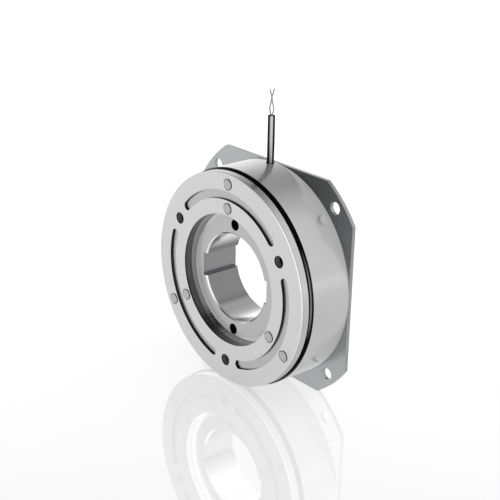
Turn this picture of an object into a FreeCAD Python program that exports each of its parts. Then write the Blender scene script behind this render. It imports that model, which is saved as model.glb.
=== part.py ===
import FreeCAD, Part
import math
import os

# Flange-mounted electromagnetic clutch: a coil in a fixed steel body, a keyed rotor that runs
# in the body with small air gaps, and an armature on a slotted diaphragm spring in front.
# Millimetres. The shaft axis is Y, with the friction side towards -Y and Z up.
# The origin is on the shaft axis, in the flange's rear mounting face.

# Radii, each built on the one inside it, from the shaft outwards
BORE_R = 40.7
HUB_WALL = 14.7
HUB_RELIEF = 5.3
INNER_TUBE_WALL = 4.9
RADIAL_GAP = 0.4
POLE_TUBE_WALL = 7.0
COIL_SPACE = 20.0
SHELL_WALL = 7.0
HUB_R = BORE_R + HUB_WALL
RECESS_R = HUB_R + HUB_RELIEF
INNER_TUBE_R = RECESS_R + INNER_TUBE_WALL
BODY_BORE_R = INNER_TUBE_R + RADIAL_GAP
POLE_TUBE_R = BODY_BORE_R + POLE_TUBE_WALL
SHELL_BORE_R = POLE_TUBE_R + COIL_SPACE
BODY_R = SHELL_BORE_R + SHELL_WALL

# Flange plate, its sides flush with the body
FLANGE_CORNER_REACH = 20.5
FLANGE_T = 3.5
FLANGE_HOLE_R = 5.6
FLANGE_HOLE_INSET = 21.7
FLANGE_EDGE_BREAK = 0.4
FLANGE_HALF_SIDE = BODY_R
FLANGE_CORNER_R = BODY_R + FLANGE_CORNER_REACH

# Magnet body, a ring with a deep channel for the coil, open to the front
BODY_LENGTH = 40.8
BODY_FLOOR_T = 9.0
POLE_TUBE_SETBACK = 5.8
BODY_EDGE_BREAK = 0.6

# Coil, which fills the channel up to the rotor's skirt
BOBBIN_WALL = 1.4
BOBBIN_FIT = 0.2
WINDING_MARGIN = 2.3
POTTING_T = 1.8
POTTING_TO_SKIRT = 0.9
LEAD_R = 0.6
LEAD_SPACING = 2.2
LEAD_WAY_R = 2.4
LEAD_INSET = 2.5
LEAD_RISE = 1.0
BORE_DEPTH_BELOW_LEADS = 3.4
BOBBIN_INNER_R = POLE_TUBE_R + BOBBIN_FIT
BOBBIN_OUTER_R = SHELL_BORE_R - BOBBIN_FIT
WINDING_INNER_R = BOBBIN_INNER_R + BOBBIN_WALL
WINDING_OUTER_R = BOBBIN_OUTER_R - WINDING_MARGIN

# Screws that hold the plate to the body, in the middle of the body's floor
SCREW_COUNT = 6
SCREW_R = 3.0
SCREW_HEAD_R = 5.6
SCREW_LENGTH = 9.5
SCREW_SOCKET_R = 2.0
SCREW_SOCKET_DEPTH = 1.6
SCREW_PITCH_R = (POLE_TUBE_R + SHELL_BORE_R) / 2

# Cable and the bush that it leaves through, at the top of the body
CABLE_R = 3.2
CABLE_TO_PLATE = 4.8
CABLE_LENGTH_OUTSIDE = 43.0
CABLE_BOW = 0.3
CABLE_BOW_HEIGHT = 22.0
BUSH_WALL = 0.7
CORE_R = 0.65

# Rotor
AIR_GAP = 0.4
ROTOR_FACE_PROUD = 4.0
ROTOR_DISC_T = 7.8
INNER_POLE_WIDTH = 15.3
FLUX_BARRIER_WIDTH = 5.0
OUTER_SKIRT_WALL = 4.0
OUTER_SKIRT_LENGTH = 10.6
INNER_TUBE_END_TO_REAR = 12.9
LINING_LAP = 1.5
LINING_T = 2.5
INNER_POLE_R = RECESS_R + INNER_POLE_WIDTH
OUTER_POLE_BORE_R = INNER_POLE_R + FLUX_BARRIER_WIDTH
LINING_BORE_R = INNER_POLE_R - LINING_LAP
LINING_R = OUTER_POLE_BORE_R + LINING_LAP

# Hub, its front face coned back to the rotor's wall
BORE_CHAMFER = 1.3
HUB_FACE_WIDTH = 13.0
HUB_CONE_DEPTH = 7.8
HUB_SETBACK = 0.6
HUB_LENGTH = 38.2
HUB_FLANGE_T = 12.0
KEYWAY_WIDTH = 22.0
KEYWAY_DEPTH = 3.0
JACK_HOLE_R = 5.1
JACK_HOLE_OUT = 9.5
JACK_HOLE_DEPTH = 18.0
HUB_FACE_R = BORE_R + BORE_CHAMFER + HUB_FACE_WIDTH
JACK_HOLE_PITCH_R = BORE_R + JACK_HOLE_OUT

# Armature disc and the diaphragm spring in front of it
ARMATURE_STEP = 1.5
ARMATURE_T = 6.3
ARMATURE_EDGE_BREAK = 0.4
RELIEF_MARGIN = 1.3
RELIEF_DEPTH = 0.5
SPRING_STEP = 0.3
SPRING_T = 1.5
SLOT_COUNT = 3
SLOT_OUT = 17.9
SLOT_WIDTH = 8.2
SLOT_HALF_ANGLE = 46.6
FIRST_SLOT_ANGLE = 90.0
WEB_HOLE_R = 5.5
SLEEVE_WALL = 1.8
SLEEVE_LENGTH = 4.6
SLEEVE_ROOM = 1.2
RIVET_INSET = 9.2
RIVET_OUT = 6.6
RIVET_R = 2.6
RIVET_HEAD_R = 4.8
RIVET_HEAD_H = 0.7
RIVET_HEAD_CHAMFER = 0.25
RIVET_TAIL_R = 4.0
RIVET_TAIL_SINK = 0.3
RIVET_FIT = 0.05
ARMATURE_R = BODY_R - ARMATURE_STEP
SPRING_R = ARMATURE_R - SPRING_STEP
SLOT_PITCH_R = RECESS_R + SLOT_OUT
RIVET_OUTER_PITCH_R = ARMATURE_R - RIVET_INSET
RIVET_INNER_PITCH_R = RECESS_R + RIVET_OUT

# Stations along the axis, counted from the rear face
FRONT = FreeCAD.Vector(0, -1, 0)
BODY_REAR_Y = -FLANGE_T
BODY_FRONT_Y = BODY_REAR_Y - BODY_LENGTH
CHANNEL_FLOOR_Y = BODY_REAR_Y - BODY_FLOOR_T
ROTOR_FACE_Y = BODY_FRONT_Y - ROTOR_FACE_PROUD
ROTOR_DISC_REAR_Y = ROTOR_FACE_Y + ROTOR_DISC_T
SKIRT_END_Y = ROTOR_DISC_REAR_Y + OUTER_SKIRT_LENGTH
POTTING_FRONT_Y = SKIRT_END_Y + POTTING_TO_SKIRT
BOBBIN_FRONT_Y = POTTING_FRONT_Y + POTTING_T
POLE_TUBE_FRONT_Y = BODY_FRONT_Y + POLE_TUBE_SETBACK
ARMATURE_REAR_Y = ROTOR_FACE_Y - AIR_GAP
ARMATURE_FRONT_Y = ARMATURE_REAR_Y - ARMATURE_T
SPRING_FRONT_Y = ARMATURE_FRONT_Y - SPRING_T
HUB_FRONT_Y = ROTOR_FACE_Y + HUB_SETBACK
HUB_REAR_Y = HUB_FRONT_Y + HUB_LENGTH
CABLE_Y = BODY_REAR_Y - CABLE_TO_PLATE

# Heights of the leads and the cable, and their routes
LEAD_Z = WINDING_OUTER_R - LEAD_INSET
CABLE_INNER_Z = LEAD_Z + LEAD_RISE
CABLE_TOP_Z = BODY_R + CABLE_LENGTH_OUTSIDE
CABLE_ROUTE = [(0, BODY_R), (CABLE_BOW, BODY_R + CABLE_BOW_HEIGHT), (0, CABLE_TOP_Z)]
# Sideways, crossing and rise from the jacket's end
CORE_ROUTE = [(0.95, 0.0, 0.0), (0.95, 0.0, 1.5), (2.2, 0.6, 4.8),
              (0.1, 0.75, 11.8), (-0.9, 0.75, 17.6), (-2.6, 0.75, 24.0)]


def turned(profile):
    """Solid of revolution about the shaft axis, from (radius, y) corners."""
    points = [FreeCAD.Vector(r, y, 0) for r, y in profile]
    face = Part.Face(Part.makePolygon(points + points[:1]))
    return face.revolve(FreeCAD.Vector(0, 0, 0), FreeCAD.Vector(0, 1, 0), 360)


def ring(inner_r, outer_r, front_y, rear_y, outer_break=0.0, inner_break=0.0):
    """Plain ring with its outer and bore edges broken by small chamfers."""
    profile = []
    if inner_break:
        profile += [(inner_r, rear_y - inner_break), (inner_r, front_y + inner_break)]
        profile += [(inner_r + inner_break, front_y)]
    else:
        profile += [(inner_r, rear_y), (inner_r, front_y)]
    if outer_break:
        profile += [(outer_r - outer_break, front_y), (outer_r, front_y + outer_break)]
        profile += [(outer_r, rear_y - outer_break), (outer_r - outer_break, rear_y)]
    else:
        profile += [(outer_r, front_y), (outer_r, rear_y)]
    if inner_break:
        profile += [(inner_r + inner_break, rear_y)]
    return turned(profile)


def drill(radius, x, z, front_y, rear_y):
    """Cylinder along the shaft direction, for a hole or a pin."""
    return Part.makeCylinder(radius, rear_y - front_y, FreeCAD.Vector(x, front_y, z), -FRONT)


def on_circle(radius, degrees):
    """Place on a circle about the axis, counted from +X towards +Z."""
    angle = math.radians(degrees)
    return radius * math.cos(angle), radius * math.sin(angle)


def turn_to(shape, degrees):
    """Copy of a shape turned about the shaft axis, from +X towards +Z."""
    copy = shape.copy()
    copy.rotate(FreeCAD.Vector(0, 0, 0), FRONT, degrees)
    return copy


def arc_slot(pitch_r, width, half_angle, middle, front_y, rear_y):
    """Curved slot with round ends, following a circle about the axis."""
    half = width / 2
    band = ring(pitch_r - half, pitch_r + half, front_y, rear_y)
    reach = 2 * (pitch_r + width)
    x_end, z_end = on_circle(reach, half_angle)
    corners = [(0, 0), (x_end, -z_end), (reach, 0), (x_end, z_end)]
    points = [FreeCAD.Vector(x, front_y, z) for x, z in corners]
    wedge = Part.Face(Part.makePolygon(points + points[:1])).extrude(FRONT * (front_y - rear_y))
    slot = band.common(wedge)
    for side in (-1, 1):
        x, z = on_circle(pitch_r, side * half_angle)
        slot = slot.fuse(drill(half, x, z, front_y, rear_y))
    return turn_to(slot.removeSplitter(), middle)


def slot_angles():
    return [FIRST_SLOT_ANGLE + i * 360.0 / SLOT_COUNT for i in range(SLOT_COUNT)]


def web_angles():
    return [angle - 180.0 / SLOT_COUNT for angle in slot_angles()]


def bent_wire(points, radius):
    """Round wire along straight runs joined by tangent arcs, each as large as its runs allow."""
    edges = []
    here = points[0]
    radii = []
    for before, corner, after in zip(points, points[1:], points[2:]):
        to_before = (before - corner).normalize()
        to_after = (after - corner).normalize()
        half_turn = (math.pi - to_before.getAngle(to_after)) / 2
        trim = 0.45 * min((before - corner).Length, (after - corner).Length)
        radii.append(trim / math.tan(half_turn))
        start = corner + to_before * trim
        end = corner + to_after * trim
        bisector = (to_before + to_after).normalize()
        centre = corner + bisector * (radii[-1] / math.cos(half_turn))
        middle = centre - bisector * radii[-1]
        edges.append(Part.LineSegment(here, start).toShape())
        edges.append(Part.Arc(start, middle, end).toShape())
        here = end
    edges.append(Part.LineSegment(here, points[-1]).toShape())
    path = Part.Wire(edges)
    section = Part.Wire(Part.makeCircle(radius, points[0], points[1] - points[0]))
    tube = path.makePipeShell([section], True, False)
    expected = math.pi * radius ** 2 * path.Length
    print("bend radii", [round(r, 1) for r in radii], "volume ratio", round(tube.Volume / expected, 4))
    return tube


# Fixed parts

def flange_screw_places():
    return [on_circle(SCREW_PITCH_R, i * 360.0 / SCREW_COUNT) for i in range(SCREW_COUNT)]


def screw_form(x, z, head_r, shank_r, length, socket):
    """Countersunk screw, its head flush with the rear face."""
    head_depth = head_r - shank_r
    head = Part.makeCone(head_r, shank_r, head_depth, FreeCAD.Vector(x, 0, z), FRONT)
    shank = drill(shank_r, x, z, -length, -head_depth)
    screw = head.fuse(shank).removeSplitter()
    if socket:
        screw = screw.cut(drill(SCREW_SOCKET_R, x, z, -SCREW_SOCKET_DEPTH, 0))
    return screw


def flange_plate():
    side = 2 * FLANGE_HALF_SIDE
    corner = FreeCAD.Vector(-FLANGE_HALF_SIDE, -FLANGE_T, -FLANGE_HALF_SIDE)
    square = Part.makeBox(side, FLANGE_T, side, corner)
    disc = ring(BODY_BORE_R, FLANGE_CORNER_R, -FLANGE_T, 0, FLANGE_EDGE_BREAK, FLANGE_EDGE_BREAK)
    plate = square.common(disc)
    half = FLANGE_HALF_SIDE - FLANGE_HOLE_INSET
    for x in (-half, half):
        for z in (-half, half):
            plate = plate.cut(drill(FLANGE_HOLE_R, x, z, -FLANGE_T, 0))
    for x, z in flange_screw_places():
        plate = plate.cut(screw_form(x, z, SCREW_HEAD_R, SCREW_R, SCREW_LENGTH, False))
    return plate


def flange_screws():
    return [screw_form(x, z, SCREW_HEAD_R, SCREW_R, SCREW_LENGTH, True) for x, z in flange_screw_places()]


def cable_bore(radius, bottom_z, top_z):
    """Upright cylinder on the cable's line."""
    return Part.makeCylinder(radius, top_z - bottom_z, FreeCAD.Vector(0, CABLE_Y, bottom_z))


def lead_way():
    """Short passage from the coil channel back to the foot of the cable's bore."""
    return drill(LEAD_WAY_R, 0, LEAD_Z, CHANNEL_FLOOR_Y - BOBBIN_WALL, CABLE_Y)


def magnet_body():
    e = BODY_EDGE_BREAK
    body = turned([
        (BODY_BORE_R, POLE_TUBE_FRONT_Y), (POLE_TUBE_R - e, POLE_TUBE_FRONT_Y),
        (POLE_TUBE_R, POLE_TUBE_FRONT_Y + e), (POLE_TUBE_R, CHANNEL_FLOOR_Y),
        (SHELL_BORE_R, CHANNEL_FLOOR_Y), (SHELL_BORE_R, BODY_FRONT_Y),
        (BODY_R - e, BODY_FRONT_Y), (BODY_R, BODY_FRONT_Y + e),
        (BODY_R, BODY_REAR_Y), (BODY_BORE_R, BODY_REAR_Y),
    ])
    body = body.cut(cable_bore(CABLE_R + BUSH_WALL, LEAD_Z - BORE_DEPTH_BELOW_LEADS, 2 * BODY_R))
    body = body.cut(lead_way())
    for x, z in flange_screw_places():
        body = body.cut(drill(SCREW_R, x, z, -SCREW_LENGTH, BODY_REAR_Y))
    return body


def coil_bobbin():
    rear_y = CHANNEL_FLOOR_Y
    front_y = BOBBIN_FRONT_Y
    bobbin = turned([
        (BOBBIN_INNER_R, front_y), (BOBBIN_OUTER_R, front_y),
        (BOBBIN_OUTER_R, front_y + BOBBIN_WALL), (WINDING_INNER_R, front_y + BOBBIN_WALL),
        (WINDING_INNER_R, rear_y - BOBBIN_WALL), (BOBBIN_OUTER_R, rear_y - BOBBIN_WALL),
        (BOBBIN_OUTER_R, rear_y), (BOBBIN_INNER_R, rear_y),
    ])
    return bobbin.cut(lead_way())


def coil_winding():
    front_y = BOBBIN_FRONT_Y + BOBBIN_WALL
    rear_y = CHANNEL_FLOOR_Y - BOBBIN_WALL
    return ring(WINDING_INNER_R, WINDING_OUTER_R, front_y, rear_y)


def coil_potting():
    return ring(POLE_TUBE_R, SHELL_BORE_R, POTTING_FRONT_Y, BOBBIN_FRONT_Y)


def coil_leads():
    """Two wire ends that run from the winding back and up to the cable."""
    leads = []
    for side in (-1, 1):
        x = side * LEAD_SPACING / 2
        along = drill(LEAD_R, x, LEAD_Z, CHANNEL_FLOOR_Y - BOBBIN_WALL, CABLE_Y)
        bend = Part.makeSphere(LEAD_R, FreeCAD.Vector(x, CABLE_Y, LEAD_Z))
        rise = Part.makeCylinder(LEAD_R, CABLE_INNER_Z - LEAD_Z, FreeCAD.Vector(x, CABLE_Y, LEAD_Z))
        leads.append(along.fuse([bend, rise]).removeSplitter())
    return leads


def cable_bush():
    outer = CABLE_R + BUSH_WALL
    top_z = math.sqrt(BODY_R ** 2 - outer ** 2)
    return cable_bore(outer, CABLE_INNER_Z, top_z).cut(cable_bore(CABLE_R, CABLE_INNER_Z, top_z))


def cable_jacket():
    foot = cable_bore(CABLE_R, CABLE_INNER_Z, BODY_R)
    points = [FreeCAD.Vector(x, CABLE_Y, z) for x, z in CABLE_ROUTE]
    return foot.fuse(bent_wire(points, CABLE_R)).removeSplitter()


def cable_core(side):
    """One of two bare core ends, which bow out, cross once and spread apart."""
    points = [FreeCAD.Vector(side * x, CABLE_Y - side * y, CABLE_TOP_Z + z) for x, y, z in CORE_ROUTE]
    return bent_wire(points, CORE_R)


# Rotor

def rotor_inner_pole():
    tube_end_y = -INNER_TUBE_END_TO_REAR
    lining_rear_y = ROTOR_FACE_Y + LINING_T
    return turned([
        (RECESS_R, ROTOR_FACE_Y), (LINING_BORE_R, ROTOR_FACE_Y),
        (LINING_BORE_R, lining_rear_y), (INNER_POLE_R, lining_rear_y),
        (INNER_POLE_R, ROTOR_DISC_REAR_Y), (INNER_TUBE_R, ROTOR_DISC_REAR_Y),
        (INNER_TUBE_R, tube_end_y), (RECESS_R, tube_end_y),
    ])


def rotor_outer_pole():
    skirt_r = SHELL_BORE_R - RADIAL_GAP
    lining_rear_y = ROTOR_FACE_Y + LINING_T
    return turned([
        (LINING_R, ROTOR_FACE_Y), (skirt_r, ROTOR_FACE_Y),
        (skirt_r, SKIRT_END_Y), (skirt_r - OUTER_SKIRT_WALL, SKIRT_END_Y),
        (skirt_r - OUTER_SKIRT_WALL, ROTOR_DISC_REAR_Y), (OUTER_POLE_BORE_R, ROTOR_DISC_REAR_Y),
        (OUTER_POLE_BORE_R, lining_rear_y), (LINING_R, lining_rear_y),
    ])


def flux_barrier_ring():
    return ring(INNER_POLE_R, OUTER_POLE_BORE_R, ROTOR_FACE_Y + LINING_T, ROTOR_DISC_REAR_Y)


def friction_lining():
    return ring(LINING_BORE_R, LINING_R, ROTOR_FACE_Y, ROTOR_FACE_Y + LINING_T)


def rotor_hub():
    c = BORE_CHAMFER
    cone_rear_y = HUB_FRONT_Y + HUB_CONE_DEPTH
    flange_rear_y = cone_rear_y + HUB_FLANGE_T
    hub = turned([
        (BORE_R + c, HUB_FRONT_Y), (HUB_FACE_R, HUB_FRONT_Y),
        (RECESS_R, cone_rear_y), (RECESS_R, flange_rear_y), (HUB_R, flange_rear_y),
        (HUB_R, HUB_REAR_Y), (BORE_R + c, HUB_REAR_Y),
        (BORE_R, HUB_REAR_Y - c), (BORE_R, HUB_FRONT_Y + c),
    ])
    reach = 2 * (BORE_R + KEYWAY_DEPTH)
    corner = FreeCAD.Vector(-reach / 2, HUB_FRONT_Y, -KEYWAY_WIDTH / 2)
    hub = hub.cut(Part.makeBox(reach, HUB_LENGTH, KEYWAY_WIDTH, corner))
    for z in (-JACK_HOLE_PITCH_R, JACK_HOLE_PITCH_R):
        hub = hub.cut(drill(JACK_HOLE_R, 0, z, HUB_FRONT_Y, HUB_FRONT_Y + JACK_HOLE_DEPTH))
    return hub


# Armature and diaphragm spring

def rivet_places(pitch_r):
    return [on_circle(pitch_r, angle) for angle in slot_angles()]


def sleeve_r():
    return WEB_HOLE_R + SLEEVE_WALL


def diaphragm_spring():
    spring = ring(RECESS_R, SPRING_R, SPRING_FRONT_Y, ARMATURE_FRONT_Y)
    for angle in slot_angles():
        slot = arc_slot(SLOT_PITCH_R, SLOT_WIDTH, SLOT_HALF_ANGLE, angle, SPRING_FRONT_Y, ARMATURE_FRONT_Y)
        spring = spring.cut(slot)
    for angle in web_angles():
        x, z = on_circle(SLOT_PITCH_R, angle)
        spring = spring.cut(drill(WEB_HOLE_R, x, z, SPRING_FRONT_Y, ARMATURE_FRONT_Y))
    for pitch_r in (RIVET_OUTER_PITCH_R, RIVET_INNER_PITCH_R):
        for x, z in rivet_places(pitch_r):
            spring = spring.cut(drill(RIVET_R + RIVET_FIT, x, z, SPRING_FRONT_Y, ARMATURE_FRONT_Y))
    return spring


def web_sleeves():
    """Sleeves welded behind the spring's webs, standing in the armature's clearance holes."""
    sleeves = []
    for angle in web_angles():
        x, z = on_circle(SLOT_PITCH_R, angle)
        rear_y = ARMATURE_FRONT_Y + SLEEVE_LENGTH
        sleeve = drill(sleeve_r(), x, z, ARMATURE_FRONT_Y, rear_y)
        sleeves.append(sleeve.cut(drill(WEB_HOLE_R, x, z, ARMATURE_FRONT_Y, rear_y)))
    return sleeves


def armature_disc():
    disc = ring(RECESS_R, ARMATURE_R, ARMATURE_FRONT_Y, ARMATURE_REAR_Y, ARMATURE_EDGE_BREAK)
    # Shallow relief behind the slots, which gives the spring's webs room to bend
    half = SLOT_WIDTH / 2 + RELIEF_MARGIN
    relief_y = ARMATURE_FRONT_Y + RELIEF_DEPTH
    disc = disc.cut(ring(SLOT_PITCH_R - half, SLOT_PITCH_R + half, ARMATURE_FRONT_Y, relief_y))
    for angle in web_angles():
        x, z = on_circle(SLOT_PITCH_R, angle)
        disc = disc.cut(drill(sleeve_r() + SLEEVE_ROOM, x, z, ARMATURE_FRONT_Y, ARMATURE_REAR_Y))
    for pitch_r in (RIVET_OUTER_PITCH_R, RIVET_INNER_PITCH_R):
        for x, z in rivet_places(pitch_r):
            disc = disc.cut(drill(RIVET_R, x, z, ARMATURE_FRONT_Y, ARMATURE_REAR_Y))
            disc = disc.cut(rivet_tail(x, z, ARMATURE_REAR_Y))
    return disc


def rivet_tail(x, z, rear_y):
    """Countersunk closing head, widest at the rear."""
    depth = RIVET_TAIL_R - RIVET_R
    return Part.makeCone(RIVET_R, RIVET_TAIL_R, depth, FreeCAD.Vector(x, rear_y - depth, z), -FRONT)


def rivets(pitch_r):
    solids = []
    for x, z in rivet_places(pitch_r):
        head_y = SPRING_FRONT_Y - RIVET_HEAD_H
        head = drill(RIVET_HEAD_R, x, z, head_y, SPRING_FRONT_Y)
        rim = [edge for edge in head.Edges if abs(edge.CenterOfMass.y - head_y) < 1e-6]
        head = head.makeChamfer(RIVET_HEAD_CHAMFER, rim)
        shank = drill(RIVET_R, x, z, SPRING_FRONT_Y, ARMATURE_REAR_Y)
        rivet = head.fuse([shank, rivet_tail(x, z, ARMATURE_REAR_Y)])
        sink = drill(RIVET_TAIL_R, x, z, ARMATURE_REAR_Y - RIVET_TAIL_SINK, ARMATURE_REAR_Y)
        solids.append(rivet.cut(sink))
    return solids


def nodes():
    return {
        "flange_plate": flange_plate(),
        "magnet_body": magnet_body(),
        "flange_screws": flange_screws(),
        "coil_bobbin": coil_bobbin(),
        "coil_winding": coil_winding(),
        "coil_potting": coil_potting(),
        "coil_leads": coil_leads(),
        "cable_bush": cable_bush(),
        "cable_jacket": cable_jacket(),
        "cable_core_a": cable_core(1),
        "cable_core_b": cable_core(-1),
        "rotor_hub": rotor_hub(),
        "rotor_inner_pole": rotor_inner_pole(),
        "rotor_outer_pole": rotor_outer_pole(),
        "flux_barrier_ring": flux_barrier_ring(),
        "friction_lining": friction_lining(),
        "diaphragm_spring": diaphragm_spring(),
        "web_sleeves": web_sleeves(),
        "armature_disc": armature_disc(),
        "outer_rivets": rivets(RIVET_OUTER_PITCH_R),
        "inner_rivets": rivets(RIVET_INNER_PITCH_R),
    }


os.makedirs("parts", exist_ok=True)
for name, solids in nodes().items():
    shape = Part.makeCompound(solids) if isinstance(solids, list) else solids
    shape.exportStep("parts/" + name + ".step")
    print(name, "solids", len(shape.Solids), "volume", round(shape.Volume), "valid", shape.isValid())
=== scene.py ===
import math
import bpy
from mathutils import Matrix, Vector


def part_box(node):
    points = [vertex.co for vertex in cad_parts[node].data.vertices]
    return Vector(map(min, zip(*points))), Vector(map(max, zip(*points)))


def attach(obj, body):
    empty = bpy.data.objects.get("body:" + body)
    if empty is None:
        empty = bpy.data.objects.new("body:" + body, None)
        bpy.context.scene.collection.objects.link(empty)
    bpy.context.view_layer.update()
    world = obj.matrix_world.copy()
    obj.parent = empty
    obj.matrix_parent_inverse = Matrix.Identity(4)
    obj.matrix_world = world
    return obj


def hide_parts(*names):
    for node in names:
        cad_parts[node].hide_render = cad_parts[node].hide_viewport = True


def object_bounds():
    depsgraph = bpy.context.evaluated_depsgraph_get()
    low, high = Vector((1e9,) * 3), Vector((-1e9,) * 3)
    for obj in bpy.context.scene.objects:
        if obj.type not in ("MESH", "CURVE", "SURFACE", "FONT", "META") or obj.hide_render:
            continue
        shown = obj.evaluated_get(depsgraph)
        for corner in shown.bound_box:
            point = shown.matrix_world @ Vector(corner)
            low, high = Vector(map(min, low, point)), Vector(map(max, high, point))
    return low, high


bl_info = {
    "name": "Flange-mounted electromagnetic clutch",
    "version": (1, 0, 0),
    "blender": (4, 5, 0),
    "location": "View3D > Sidebar > Clutch",
    "description": "Dresses the clutch's packed frame with its turned steel parts, cable and studio",
    "category": "Object",
}

import bmesh
import bpy
from mathutils import Matrix, Vector

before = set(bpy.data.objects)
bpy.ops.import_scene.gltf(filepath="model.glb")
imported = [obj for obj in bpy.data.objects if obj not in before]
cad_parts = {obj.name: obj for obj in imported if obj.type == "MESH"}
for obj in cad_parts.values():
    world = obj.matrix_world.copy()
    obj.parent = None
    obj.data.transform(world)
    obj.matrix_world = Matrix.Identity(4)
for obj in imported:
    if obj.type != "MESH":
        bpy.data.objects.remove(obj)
CAD_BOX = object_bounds()

MM = 0.001
RING_STEPS = 256
PIN_STEPS = 48
ARC_STEPS = 96
END_STEPS = 16
HOLE_STEPS = 64
FLOOR_STEPS = 96
SOCKET_SIDES = 6
CORNER_ANGLE = math.radians(30)
WELD = 1e-7
ON_AXIS = 1e-9

# Sizes in metres, the solids' own apart from broken edges, screw sockets, rivet seats and rivet crowns
BODY_R = 100.0 * MM
BODY_EDGE = 0.6 * MM
SHELL_BORE_R = 93.0 * MM
BODY_BORE_R = 66.0 * MM
POLE_TUBE_R = 73.0 * MM
POLE_TUBE_SETBACK = 5.8 * MM
CHANNEL_FLOOR_T = 9.0 * MM
FLANGE_CORNER_R = 120.5 * MM
FLANGE_HOLE_R = 5.6 * MM
FLANGE_HOLE_OFFSET = 78.3 * MM
SCREW_PITCH_R = 83.0 * MM
SCREW_HEAD_R = 5.6 * MM
SCREW_R = 3.0 * MM
SCREW_LENGTH = 9.5 * MM
SCREW_SOCKET_R = 2.3 * MM
SCREW_SOCKET_DEPTH = 1.9 * MM
SCREW_EDGE = 0.12 * MM
SCREW_ANGLES = [math.radians(60 * i) for i in range(6)]
RECESS_R = 60.7 * MM
HUB_R = 55.4 * MM
HUB_FACE_R = 55.0 * MM
HUB_CONE_DEPTH = 7.8 * MM
HUB_FLANGE_T = 12.0 * MM
BORE_R = 40.7 * MM
BORE_CHAMFER = 1.3 * MM
KEYWAY_HALF = 11.0 * MM
KEYWAY_FLOOR = 43.7 * MM
JACK_HOLE_R = 5.1 * MM
JACK_HOLE_PITCH_R = 50.2 * MM
JACK_HOLE_DEPTH = 18.0 * MM
INNER_TUBE_R = 65.6 * MM
INNER_POLE_R = 76.0 * MM
OUTER_POLE_BORE_R = 81.0 * MM
OUTER_SKIRT_WALL = 4.0 * MM
ROTOR_DISC_T = 7.8 * MM
LINING_LAP = 1.5 * MM
LINING_T = 2.5 * MM
RELIEF_HALF_WIDTH = 5.4 * MM
RELIEF_DEPTH = 0.5 * MM
SLOT_PITCH_R = 78.6 * MM
SLOT_HALF_WIDTH = 4.1 * MM
SLOT_HALF_ANGLE = math.radians(46.6)
SLOT_ANGLES = [math.radians(a) for a in (90, 210, 330)]
WEB_ANGLES = [math.radians(a) for a in (30, 150, 270)]
WEB_HOLE_R = 5.5 * MM
SLEEVE_R = 7.3 * MM
SLEEVE_HOLE_R = 8.5 * MM
SLEEVE_EDGE = 0.2 * MM
RIVET_PITCH_OUTER_R = 89.3 * MM
RIVET_PITCH_INNER_R = 67.3 * MM
RIVET_R = 2.6 * MM
RIVET_HEAD_R = 4.8 * MM
# Crown: share of the head's radius and drop from its top. Shoulder: share and height over the spring.
RIVET_CROWN = [(0.0, 0.0), (0.45, 0.02 * MM), (0.8, 0.12 * MM)]
RIVET_SHOULDER = (0.96, 0.4 * MM)
RIVET_TAIL_R = 4.0 * MM
RIVET_TAIL_DEPTH = 1.4 * MM
RIVET_EDGE = 0.1 * MM
RIVET_FIT_IN_SPRING = 0.05 * MM
RIVET_FIT_IN_DISC = 0.02 * MM
RIVET_SEAT_MARGIN = 0.7 * MM
RIVET_SEAT_DEPTH = 0.7 * MM

# Cable, bush and cores
BUSH_COLLAR = 0.3 * MM
BUSH_EDGE = 0.12 * MM
BUSH_HOLE_LOW_Z = 84.6 * MM
BUSH_HOLE_HIGH_Z = 110.0 * MM
CABLE_Y = -8.3 * MM
CABLE_INNER_Z = 89.0 * MM
CABLE_TOP_Z = 143.0 * MM
CABLE_BOW = 0.3 * MM
CABLE_BOW_HEIGHT = 22 * MM
CABLE_ROUTE = [(0, CABLE_Y, CABLE_INNER_Z), (0, CABLE_Y, BODY_R),
               (CABLE_BOW, CABLE_Y, BODY_R + CABLE_BOW_HEIGHT), (0, CABLE_Y, CABLE_TOP_Z)]
# In mm from the cable's end: to the side, to the front and up. Core b's route is turned by half a circle.
CORE_ROUTE = [(0.95, 0.0, 0.0), (0.95, 0.0, 1.2), (3.0, 0.0, 5.0), (2.0, 0.6, 10.5), (0.75, 0.8, 16.5)]
CORE_ENDS = [(-2.0, 0.8, 23.0), (-2.0, 0.8, 23.8)]

# Colours and painted glows that finishes share, the place of the painted shade in streaks, and the place of
# the painted glint
BLACK = (0.0, 0.0, 0.0)
WHITE = (1.0, 1.0, 1.0)
PLATE_COLOUR = (0.5, 0.505, 0.51)
PLATE_GLOW = 0.95
WALL_GLOW = 0.62
PAINTED_SHADE_ANGLE = math.radians(-117)
PAINTED_SHADE_REACH = 0.36
PAINTED_SHADE_CORE = 0.06
GLINT_R = 96.6 * MM
GLINT_Z = 12 * MM
GLINT_REACH = 40 * MM
GLINT_CORE = 15 * MM

# Camera, solved from the outlines, and floor
CAMERA_ANGLES = [math.radians(a) for a in (49.157, 21.421, 1.253)]
CAMERA_TARGET_MM = (8.283, -36.823, 26.774)
CAMERA_DISTANCE_MM = 1010.54
FOCAL_LENGTH = 82.195
SENSOR_WIDTH = 36.0
FLOOR_R = 14.0


def span(node):
    """Front and rear of a node along the shaft axis."""
    low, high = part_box(node)
    return low.y, high.y


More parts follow.
